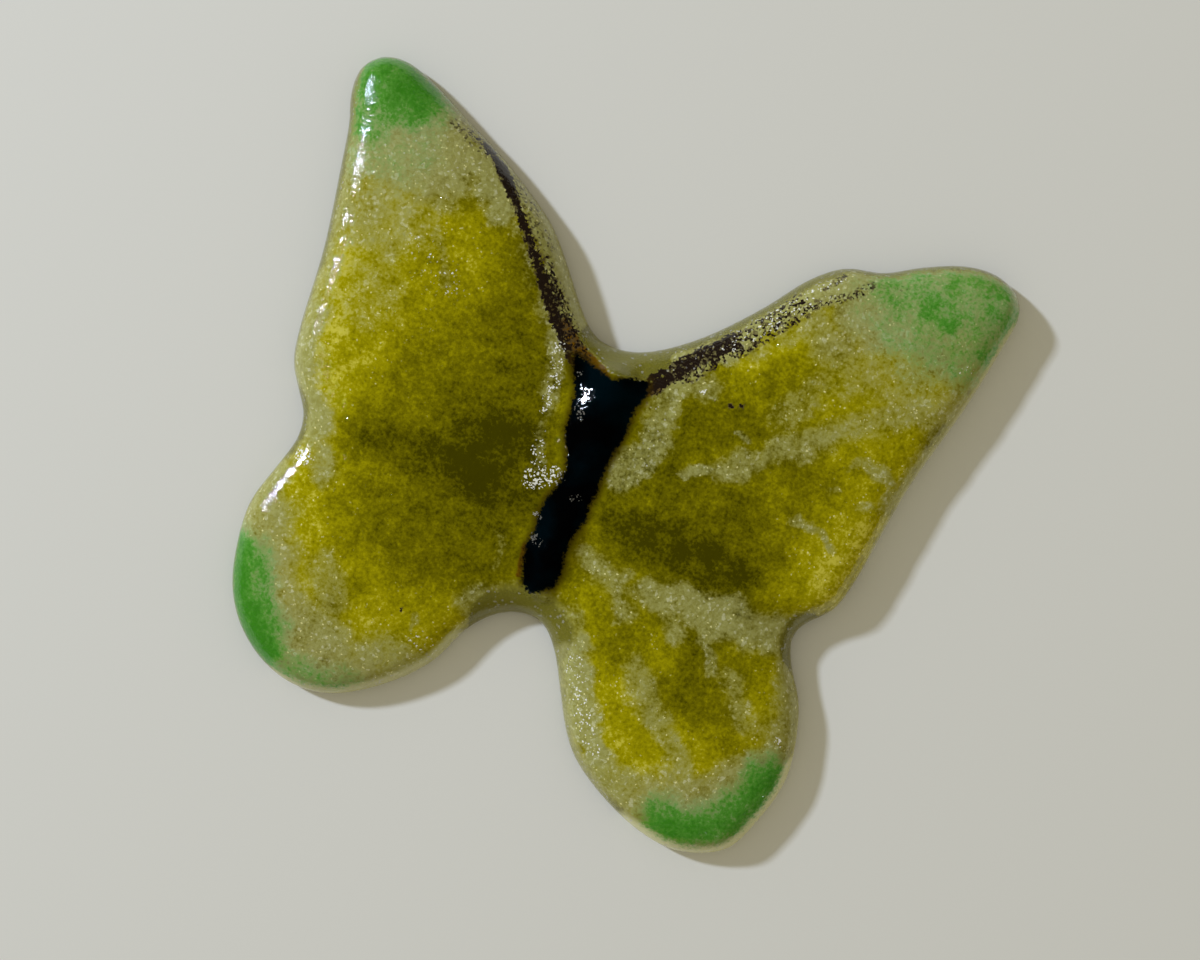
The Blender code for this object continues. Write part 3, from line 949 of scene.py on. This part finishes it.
@dataclass
class GlassButterfly:
    """The casting: one solid with a rippled, glossy face.

    Args:
        plan: Where each colour was sprinkled.
        finish: The glass that it is made of.
        divisions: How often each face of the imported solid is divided.
        smoothings: How many rounds of smoothing take its facets away.
        smoothing_share: How far each round goes.
        smooth_from: The height at which the smoothing starts.
        body_smoothing: The share of it that the body's rings get.
        body_middle: The middle of the body across the wings.
        body_reach: How far to each side of it the rings are spared.
        tail: Where the body ends.
        head: Where it starts.
        press_from: The height at which the pressing starts.
        press_fade: How much higher it is full.
        pebbles_from: How far inside the rim the pebbles start.
        pebbles_fade: How much further in they are full.
        least_pebbles: The share of them that is left at the rim.
        ripple_size: The width of the slow ripples that the mould left.
        ripple_depth: How deep they are.
        pebble_size: The width of the small pebbles on the face.
        pebble_depth: How deep they are.
    """

    plan: ColourPlan
    finish: FusedGlass
    divisions: int = 2
    smoothings: int = 14
    smoothing_share: float = 0.5
    smooth_from: float = 1.4
    body_smoothing: float = 0.4
    body_middle: float = -1.7
    body_reach: float = 5.5
    tail: float = -16.0
    head: float = 13.0
    press_from: float = 3.4
    press_fade: float = 1.2
    pebbles_from: float = 1.4
    pebbles_fade: float = 2.2
    least_pebbles: float = 0.15
    ripple_size: float = 4.5 * MM
    ripple_depth: float = 0.16 * MM
    pebble_size: float = 1.1 * MM
    pebble_depth: float = 0.10 * MM

    def build(self) -> bpy.types.Object:
        """Model the casting and put its finish on.

        Returns:
            The finished piece.
        """
        piece = self.copy_solid()
        outline = self.find_outline(piece)
        self.divide(piece)
        to_rim = distance_to_edges(self.places(piece), outline)
        self.weigh(piece, to_rim)
        self.even_out(piece)
        self.press(piece, "ripples", self.ripple_size, self.ripple_depth, Patch.HIGH)
        self.press(piece, "pebbles", self.pebble_size, self.pebble_depth, Patch.FACE)
        self.store_fields(piece, to_rim)
        piece.data.materials.clear()
        piece.data.materials.append(self.finish.make())
        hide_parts(NODE)
        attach(piece, ROOT)
        return piece

    def copy_solid(self) -> bpy.types.Object:
        """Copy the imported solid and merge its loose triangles.

        Returns:
            The copy, alone in the selection.
        """
        bpy.ops.object.select_all(action="DESELECT")
        solid = bpy.data.objects[NODE]
        piece = bpy.data.objects.new("cast_butterfly", solid.data.copy())
        bpy.context.collection.objects.link(piece)
        piece.matrix_world = solid.matrix_world
        piece.select_set(True)
        bpy.context.view_layer.objects.active = piece
        bpy.ops.object.transform_apply(location=True, rotation=True, scale=True)
        bpy.ops.object.mode_set(mode="EDIT")
        bpy.ops.mesh.select_all(action="SELECT")
        bpy.ops.mesh.remove_doubles(threshold=SAME_PLACE)
        bpy.ops.object.mode_set(mode="OBJECT")
        bpy.ops.object.shade_smooth()
        return piece

    def find_outline(self, piece: bpy.types.Object) -> np.ndarray:
        """Find the edges of the widest ring.

        Args:
            piece: The merged copy, before it is divided.

        Returns:
            Both ends of each edge, shaped (count, 2, 2).
        """
        mesh = piece.data
        at_rim = [abs(vert.co.z - RIM_HEIGHT) < SAME_PLACE for vert in mesh.vertices]
        pairs = [edge.vertices for edge in mesh.edges
                 if at_rim[edge.vertices[0]] and at_rim[edge.vertices[1]]]
        return np.array([[mesh.vertices[end].co.xy[:] for end in pair] for pair in pairs]) / MM

    def divide(self, piece: bpy.types.Object) -> None:
        """Divide the faces finely and round them.

        Args:
            piece: The casting.
        """
        modifier = piece.modifiers.new("fine", "SUBSURF")
        modifier.levels = self.divisions
        modifier.render_levels = self.divisions
        bpy.ops.object.modifier_apply(modifier=modifier.name)

    def places(self, piece: bpy.types.Object) -> np.ndarray:
        """Read where the points of the casting lie.

        Args:
            piece: The casting.

        Returns:
            The flat position of each point, one row each.
        """
        spots = np.empty(len(piece.data.vertices) * 3)
        piece.data.vertices.foreach_get("co", spots)
        return spots.reshape(-1, 3)[:, :2] / MM

    def weigh(self, piece: bpy.types.Object, to_rim: np.ndarray) -> None:
        """Mark what may be smoothed and what may be pressed; back and rim stay even.

        Args:
            piece: The casting.
            to_rim: How far inside the rim each point lies.
        """
        groups = {patch: piece.vertex_groups.new(name=patch.value) for patch in Patch}
        for vert, gap in zip(piece.data.vertices, to_rim):
            x, y, z = vert.co / MM
            by_body = abs(x - self.body_middle) < self.body_reach and self.tail < y < self.head
            smooth = clamp(z - self.smooth_from) * (self.body_smoothing if by_body else 1.0)
            raised = clamp((z - self.press_from) / self.press_fade)
            inner = clamp((gap - self.pebbles_from) / self.pebbles_fade)
            pebbly = max(inner, self.least_pebbles) * raised
            weights = {Patch.UPPER: smooth, Patch.FACE: pebbly, Patch.HIGH: raised}
            for patch, weight in weights.items():
                groups[patch].add([vert.index], weight, "REPLACE")

    def even_out(self, piece: bpy.types.Object) -> None:
        """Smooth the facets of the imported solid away.

        Args:
            piece: The casting.
        """
        modifier = piece.modifiers.new("even", "SMOOTH")
        modifier.factor = self.smoothing_share
        modifier.iterations = self.smoothings
        modifier.vertex_group = Patch.UPPER.value
        bpy.ops.object.modifier_apply(modifier=modifier.name)

    def press(self, piece: bpy.types.Object, name: str, size: float, depth: float,
              patch: Patch) -> None:
        """Press one scale of unevenness into the face.

        Args:
            piece: The casting.
            name: What the unevenness is called.
            size: Its width in metres.
            depth: Its depth in metres.
            patch: The points that it shifts.
        """
        texture = bpy.data.textures.new(name, "CLOUDS")
        texture.noise_scale = size
        modifier = piece.modifiers.new(name, "DISPLACE")
        modifier.texture = texture
        modifier.texture_coords = "LOCAL"
        modifier.direction = "Z"
        modifier.vertex_group = patch.value
        modifier.strength = depth
        bpy.ops.object.modifier_apply(modifier=modifier.name)

    def store_fields(self, piece: bpy.types.Object, to_rim: np.ndarray) -> None:
        """Store every field of colour on the surface.

        Args:
            piece: The casting.
            to_rim: How far inside the rim each point lies.
        """
        for grain, values in self.plan.fields(self.places(piece), to_rim).items():
            attribute = piece.data.attributes.new(grain.value, "FLOAT", "POINT")
            attribute.data.foreach_set("value", values.astype(np.float32))


@dataclass(frozen=True)
class PaleCard:
    """The floor's finish: plain, pale and matt.

    Args:
        colour: Linear red, green and blue.
        roughness: How matt it is.
        mirror: How much it mirrors.
    """

    colour: Colour = (0.80, 0.80, 0.775)
    roughness: float = 0.9
    mirror: float = 0.2

    def make(self) -> bpy.types.Material:
        """Lay out the finish.

        Returns:
            The material.
        """
        material = bpy.data.materials.new("pale card")
        material.use_nodes = True
        shader = material.node_tree.nodes["Principled BSDF"]
        shader.inputs["Base Color"].default_value = (*self.colour, 1.0)
        shader.inputs["Roughness"].default_value = self.roughness
        shader.inputs["Specular IOR Level"].default_value = self.mirror
        return material


@dataclass
class Studio:
    """The pale floor, the lamp and the camera over the butterfly.

    Args:
        card: The floor's finish.
        floor_width: The width of the floor in metres.
        floor_gap: How far the floor lies below the casting's back.
        lamp_way: The direction to the lamp.
        lamp_reach: How far away it hangs, in metres.
        lamp_width: Its width in metres.
        lamp_power: Its power in watts.
        lamp_colour: The colour of its light.
        room_glow: How bright the soft fill from all round is.
        room_colour: Its colour.
        middle: What the camera looks at.
        field_width: The width of what it sees at the rim's height.
        lens: Its focal length.
        sensor: The width of its sensor.
        nearest: How near it still sees, in metres.
        roll_deg: How far it is turned, in degrees.
    """

    card: PaleCard
    floor_width: float = 3.0
    floor_gap: float = 0.05 * MM
    lamp_way: tuple[float, float, float] = (-0.826, 0.214, 0.522)
    lamp_reach: float = 0.95
    lamp_width: float = 0.068
    lamp_power: float = 6.7
    lamp_colour: Colour = (0.778, 0.855, 1.0)
    room_glow: float = 0.375
    room_colour: Colour = (1.06, 0.975, 0.715)
    middle: tuple[float, float] = (0.5 * MM, -0.54 * MM)
    field_width: float = 132.0 * MM
    lens: float = 50.0
    sensor: float = 36.0
    nearest: float = 0.01
    roll_deg: float = 18.08

    def lay_floor(self) -> bpy.types.Object:
        """Lay the floor that the butterfly lies on.

        Returns:
            The floor.
        """
        bpy.ops.object.select_all(action="DESELECT")
        bpy.ops.mesh.primitive_plane_add(size=self.floor_width,
                                         location=(0.0, 0.0, -self.floor_gap))
        floor = bpy.context.object
        floor.name = "pale_floor"
        bpy.ops.object.transform_apply(location=True, rotation=True, scale=True)
        floor.data.materials.append(self.card.make())
        return floor

    def hang_lamp(self) -> None:
        """Hang one square lamp at the upper left that points at the butterfly."""
        lamp = bpy.data.lights.new("key lamp", "AREA")
        lamp.energy = self.lamp_power
        lamp.size = self.lamp_width
        lamp.color = self.lamp_colour
        holder = bpy.data.objects.new("key lamp", lamp)
        bpy.context.collection.objects.link(holder)
        way = Vector(self.lamp_way)
        holder.location = way.normalized() * self.lamp_reach
        holder.rotation_euler = way.to_track_quat("Z", "Y").to_euler()

    def fill_room(self) -> None:
        """Fill the shadows softly, without a reflection on the glass."""
        world = bpy.data.worlds.new("soft room")
        bpy.context.scene.world = world
        world.use_nodes = True
        background = world.node_tree.nodes["Background"]
        background.inputs[0].default_value = (*self.room_colour, 1.0)
        background.inputs[1].default_value = self.room_glow
        world.cycles_visibility.glossy = False

    def set_camera(self) -> None:
        """Hold the camera over the butterfly, turned as the photograph was."""
        camera = bpy.data.cameras.new("camera")
        camera.lens = self.lens
        camera.sensor_width = self.sensor
        camera.clip_start = self.nearest
        holder = bpy.data.objects.new("camera", camera)
        bpy.context.collection.objects.link(holder)
        height = self.field_width * self.lens / self.sensor
        holder.rotation_euler = (0.0, 0.0, math.radians(self.roll_deg))
        holder.location = (*self.middle, RIM_HEIGHT + height)
        bpy.context.scene.camera = holder
        bpy.context.scene.view_settings.view_transform = "Standard"


def main() -> None:
    """Build the studio and the casting in it, and report each piece."""
    logging.basicConfig(level=logging.INFO, format="%(name)s: %(message)s")
    studio = Studio(PaleCard())
    floor = studio.lay_floor()
    studio.hang_lamp()
    studio.fill_room()
    studio.set_camera()
    butterfly = GlassButterfly(ColourPlan(), FusedGlass()).build()
    for piece in (floor, butterfly):
        log.info("%s: %d faces", piece.name, len(piece.data.polygons))


if __name__ == "__main__":
    main()
